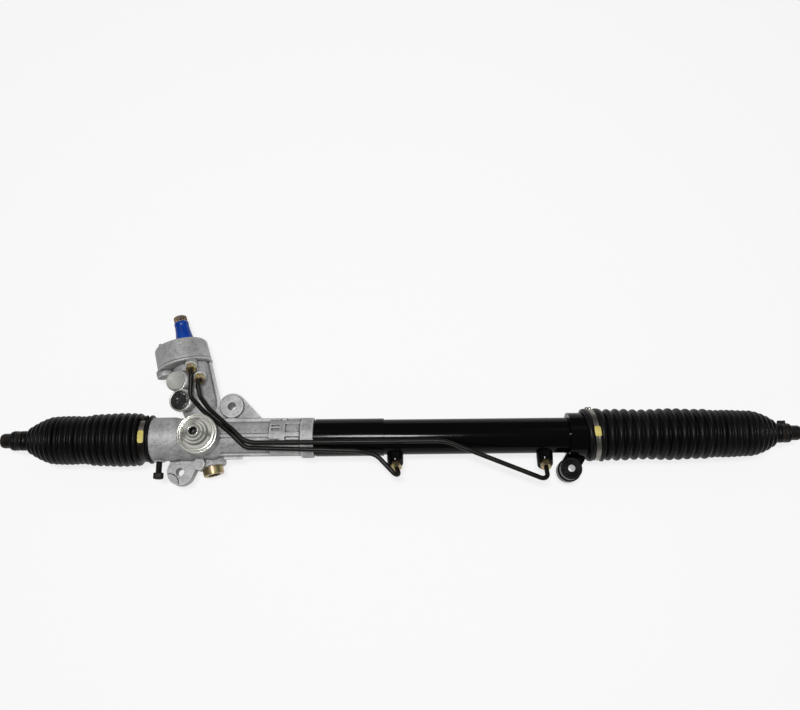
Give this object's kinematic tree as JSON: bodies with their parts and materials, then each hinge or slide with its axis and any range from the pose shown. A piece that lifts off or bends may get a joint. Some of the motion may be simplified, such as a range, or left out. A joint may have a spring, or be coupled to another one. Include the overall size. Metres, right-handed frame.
{
  "type": "steering rack",
  "caption": "Hydraulic rack-and-pinion steering gear: cast valve tower, black cylinder tube, two steel pipes, ribbed rubber bellows and inner tie rods.",
  "frame": {"origin": "centre of the lower housing bolt hole, on the face that seats on the crossmember", "axes": "+X along the rack bar towards the cylinder end, +Z along the mounting bolts, out of the yoke plug; +Y on the side that the valve tower rises to"},
  "size_m": [1.0376, 0.2352, 0.1146],
  "materials": {
    "cast": "fine sand-cast texture, satin",
    "machined": "turned, bright",
    "steel": "ground",
    "black_paint": "gloss black",
    "pipe_coat": "dark olive coating, semi-gloss",
    "rubber": "matte black",
    "seal": "matte",
    "blue_plastic": "translucent blue",
    "black_plastic": "moulded",
    "grey_plastic": "moulded",
    "white_plastic": "moulded",
    "yellow_zinc": "yellow passivated",
    "band_steel": "dark passivated",
    "bronze": "sintered",
    "black_oxide": "black oxide"
  },
  "bodies": {
    "housing": {"rack_housing": "cast", "lower_bearing_outer": "steel", "needle_shell": "steel", "pinion_seal": "seal", "bottom_plug": "yellow_zinc", "top_bearing": "steel", "top_seal": "seal", "top_circlip": "steel", "yoke": "machined", "yoke_liner": "bronze", "yoke_spring": "steel", "yoke_plug": "machined", "yoke_locknut": "machined", "cylinder_tube": "black_paint", "tube_sleeve": "black_paint", "left_port_fitting": "black_paint", "right_port_fitting": "black_paint", "inner_head": "machined", "inner_seal": "seal", "outer_head": "machined", "outer_seal": "seal", "rack_bush": "bronze", "head_circlip": "steel", "right_bracket": "black_paint", "bracket_rubber": "rubber", "bracket_sleeve": "steel", "valve_nuts": "yellow_zinc", "cylinder_nuts": "yellow_zinc", "short_pipe": "pipe_coat", "long_pipe": "pipe_coat", "pressure_plug": "black_plastic", "return_plug": "grey_plastic", "centring_screw": "black_oxide", "left_boot": "rubber", "right_boot": "rubber", "big_clamps": "band_steel"},
    "rack": {"rack_bar": "steel", "piston": "steel", "piston_ring": "white_plastic", "piston_clips": "steel", "left_ball_housing": "steel", "right_ball_housing": "steel"},
    "pinion": {"pinion": "steel", "lower_pin": "steel", "torsion_bar": "steel", "valve_sleeve": "steel", "sleeve_rings": "white_plastic", "lower_bearing_inner": "steel", "lower_bearing_balls": "steel", "pinion_nut": "steel", "needles": "steel"},
    "input_shaft": {"input_shaft": "steel", "upper_pin": "steel", "shaft_guard": "blue_plastic"},
    "left_ball_seat": {"left_ball_liner": "white_plastic"},
    "right_ball_seat": {"right_ball_liner": "white_plastic"},
    "left_tie_rod": {"left_tie_rod": "black_oxide", "left_hem_clamp": "band_steel"},
    "right_tie_rod": {"right_tie_rod": "black_oxide", "right_hem_clamp": "band_steel"}
  },
  "joints": [
    {"name": "rack_travel", "type": "slide", "parent": "housing", "child": "rack", "axis": [1, 0, 0], "range_m": [-0.112, 0.022], "deforming": ["left_boot", "right_boot"]},
    {"name": "pinion_turn", "type": "hinge", "parent": "housing", "child": "pinion", "pos_m": [0.03, 0.042, 0.00525], "axis": [-0.2588, 0.9659, 0], "range_deg": [-875, 173]},
    {"name": "valve_twist", "type": "hinge", "parent": "pinion", "child": "input_shaft", "pos_m": [0.00412, 0.13859, 0.00525], "axis": [-0.2588, 0.9659, 0], "range_deg": [-6, 6], "stiffness_Nm_per_rad": 85, "deforming": ["torsion_bar"]},
    {"name": "left_ball_rise", "type": "hinge", "parent": "rack", "child": "left_ball_seat", "pos_m": [-0.09, 0.042, 0.022], "axis": [0, 1, 0], "range_deg": [-15, 15]},
    {"name": "left_ball_sweep", "type": "hinge", "parent": "left_ball_seat", "child": "left_tie_rod", "pos_m": [-0.09, 0.042, 0.022], "axis": [0, 0, 1], "range_deg": [-15, 15]},
    {"name": "right_ball_rise", "type": "hinge", "parent": "rack", "child": "right_ball_seat", "pos_m": [0.666, 0.042, 0.022], "axis": [0, 1, 0], "range_deg": [-15, 15]},
    {"name": "right_ball_sweep", "type": "hinge", "parent": "right_ball_seat", "child": "right_tie_rod", "pos_m": [0.666, 0.042, 0.022], "axis": [0, 0, 1], "range_deg": [-15, 15]}
  ],
  "couplings": [
    {"joint": "pinion_turn", "follows": "rack_travel", "rad_per_m": 136.05}
  ]
}
